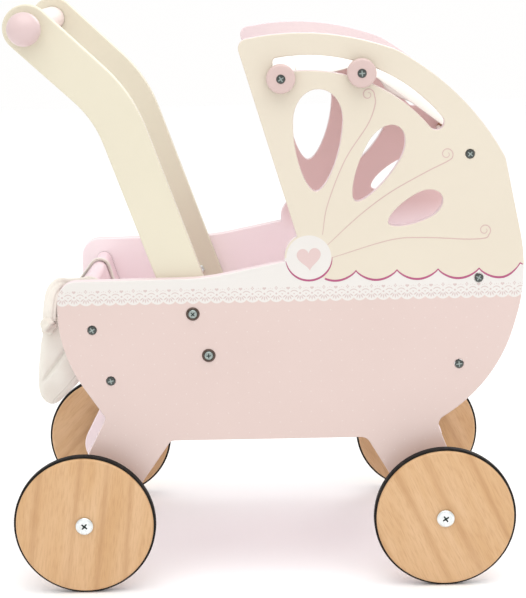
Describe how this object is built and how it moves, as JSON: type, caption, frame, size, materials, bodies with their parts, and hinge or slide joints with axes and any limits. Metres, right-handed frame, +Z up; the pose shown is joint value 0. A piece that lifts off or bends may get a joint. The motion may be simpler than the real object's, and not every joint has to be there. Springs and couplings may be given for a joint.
{
  "type": "doll's pram",
  "caption": "Wooden doll's pram: shaped side panels, tub, push handle, rubber-tyred wheels, cloth hood on sliding rods and a hanging cotton bag.",
  "frame": {"origin": "on the ground, under the middle of the length and width", "axes": "+X forward, from the handle towards the hood; +Y the left side seen from the handle; +Z up"},
  "size_m": [0.4955, 0.3304, 0.5646],
  "materials": {
    "cream_paint": "plywood under smooth satin cream paint, with a printed pattern on the outside faces",
    "pink_paint": "plywood under smooth satin pale pink paint",
    "knob_pink": "turned wood under satin dusty pink paint",
    "plywood": "clear satin lacquer over straight light grain",
    "bare_dowel": "unpainted hardwood dowel",
    "tyre_rubber": "matte black rubber band",
    "cotton": "unbleached plain-woven cotton",
    "zinc": "bright zinc plate",
    "dark_steel": "dark zinc plate"
  },
  "bodies": {
    "root": {"right_side_panel": "cream_paint", "left_side_panel": "cream_paint", "rear_end_board": "pink_paint", "front_end_board": "pink_paint", "floor_panel": "pink_paint", "right_handle_arm": "cream_paint", "left_handle_arm": "cream_paint", "handle_bar": "knob_pink", "right_handle_knob": "knob_pink", "left_handle_knob": "knob_pink", "rear_axle": "zinc", "front_axle": "zinc", "canopy_rear_rod": "bare_dowel", "canopy_cloth": "cotton", "right_handle_bolt_upper": "zinc", "right_handle_nut_upper": "dark_steel", "right_handle_bolt_lower": "zinc", "right_handle_nut_lower": "dark_steel", "right_rear_board_upper_screw": "dark_steel", "right_rear_board_lower_screw": "dark_steel", "right_front_board_upper_screw": "dark_steel", "right_front_board_lower_screw": "dark_steel", "right_rear_rod_screw": "dark_steel", "right_rear_hub_bolt": "zinc", "right_rear_axle_spacer": "plywood", "right_front_hub_bolt": "zinc", "right_front_axle_spacer": "plywood", "left_handle_bolt_upper": "zinc", "left_handle_nut_upper": "dark_steel", "left_handle_bolt_lower": "zinc", "left_handle_nut_lower": "dark_steel", "left_rear_board_upper_screw": "dark_steel", "left_rear_board_lower_screw": "dark_steel", "left_front_board_upper_screw": "dark_steel", "left_front_board_lower_screw": "dark_steel", "left_rear_rod_screw": "dark_steel", "left_rear_hub_bolt": "zinc", "left_rear_axle_spacer": "plywood", "left_front_hub_bolt": "zinc", "left_front_axle_spacer": "plywood"},
    "right_rear_wheel": {"right_rear_wheel_disc": "plywood", "right_rear_tyre": "tyre_rubber"},
    "right_front_wheel": {"right_front_wheel_disc": "plywood", "right_front_tyre": "tyre_rubber"},
    "left_rear_wheel": {"left_rear_wheel_disc": "plywood", "left_rear_tyre": "tyre_rubber"},
    "left_front_wheel": {"left_front_wheel_disc": "plywood", "left_front_tyre": "tyre_rubber"},
    "front_rod": {"canopy_front_rod": "bare_dowel", "right_front_rod_knob": "knob_pink", "right_front_rod_screw": "dark_steel", "left_front_rod_knob": "knob_pink", "left_front_rod_screw": "dark_steel"},
    "middle_rod": {"canopy_middle_rod": "bare_dowel", "right_middle_rod_knob": "knob_pink", "right_middle_rod_screw": "dark_steel", "left_middle_rod_knob": "knob_pink", "left_middle_rod_screw": "dark_steel"},
    "bag": {"storage_bag": "cotton"}
  },
  "joints": [
    {"name": "right_rear_wheel_spin", "type": "hinge", "parent": "root", "child": "right_rear_wheel", "pos_m": [-0.179, -0.155, 0.0687], "axis": [0, 1, 0], "continuous": true},
    {"name": "right_front_wheel_spin", "type": "hinge", "parent": "root", "child": "right_front_wheel", "pos_m": [0.1695, -0.155, 0.0687], "axis": [0, 1, 0], "continuous": true},
    {"name": "left_rear_wheel_spin", "type": "hinge", "parent": "root", "child": "left_rear_wheel", "pos_m": [-0.179, 0.155, 0.0687], "axis": [0, 1, 0], "continuous": true},
    {"name": "left_front_wheel_spin", "type": "hinge", "parent": "root", "child": "left_front_wheel", "pos_m": [0.1695, 0.155, 0.0687], "axis": [0, 1, 0], "continuous": true},
    {"name": "front_rod_lift", "type": "slide", "parent": "root", "child": "front_rod", "axis": [0, 0, 1], "range_m": [0, 0.0125]},
    {"name": "middle_rod_travel", "type": "hinge", "parent": "root", "child": "middle_rod", "pos_m": [0.0417, 0, 0.3468], "axis": [0, 1, 0], "range_deg": [-17, 30.5]},
    {"name": "bag_swing", "type": "hinge", "parent": "root", "child": "bag", "pos_m": [-0.17516, 0, 0.28], "axis": [0, 1, 0], "range_deg": [0, 40]}
  ]
}
